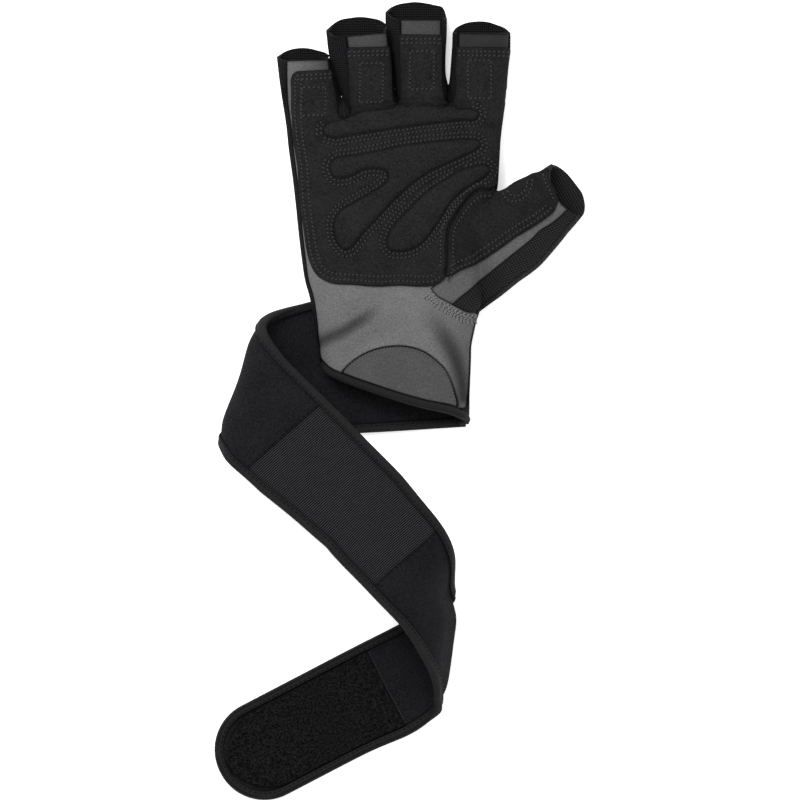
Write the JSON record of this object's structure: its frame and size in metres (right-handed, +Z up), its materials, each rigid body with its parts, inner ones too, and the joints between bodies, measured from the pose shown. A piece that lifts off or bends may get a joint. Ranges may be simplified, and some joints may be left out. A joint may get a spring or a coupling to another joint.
{
  "type": "weightlifting glove",
  "caption": "Fingerless weightlifting glove for the right hand, with a padded suede palm and a long wrist strap, unwrapped and lying palm up.",
  "frame": {"origin": "on the flat underside of the back of the hand, below the middle of the palm", "axes": "+Y from the cuff to the fingers, +X to the thumb, +Z up out of the palm"},
  "size_m": [0.1865, 0.3893, 0.0491],
  "materials": {
    "back_knit": "smooth black knit",
    "grey_microfibre": "matt mid grey brushed microfibre",
    "ribbed_knit": "black ribbed stretch knit",
    "black_suede": "matt black synthetic suede with a short nap",
    "thumb_mesh": "black open mesh knit",
    "strap_neoprene": "black jersey over foam",
    "ribbed_elastic": "black ribbed elastic",
    "binding_tape": "dark satin binding tape",
    "hook_fastener": "dense black hook tape"
  },
  "bodies": {
    "root": {"back_panel": "back_knit", "palm_panel": "grey_microfibre", "little_finger_side": "ribbed_knit", "fourchette_little_ring": "ribbed_knit", "fourchette_ring_middle": "ribbed_knit", "fourchette_middle_index": "ribbed_knit", "index_finger_side": "ribbed_knit", "palm_overlay": "black_suede", "thumb_overlay": "black_suede", "thumb_gusset": "grey_microfibre", "thumb_back": "thumb_mesh", "wrist_gusset": "grey_microfibre", "wrist_side": "strap_neoprene", "cuff_binding": "binding_tape", "strap_band": "strap_neoprene", "elastic_panel": "ribbed_elastic", "strap_tongue": "strap_neoprene", "strap_binding": "binding_tape", "hook_patch": "hook_fastener"}
  },
  "joints": []
}
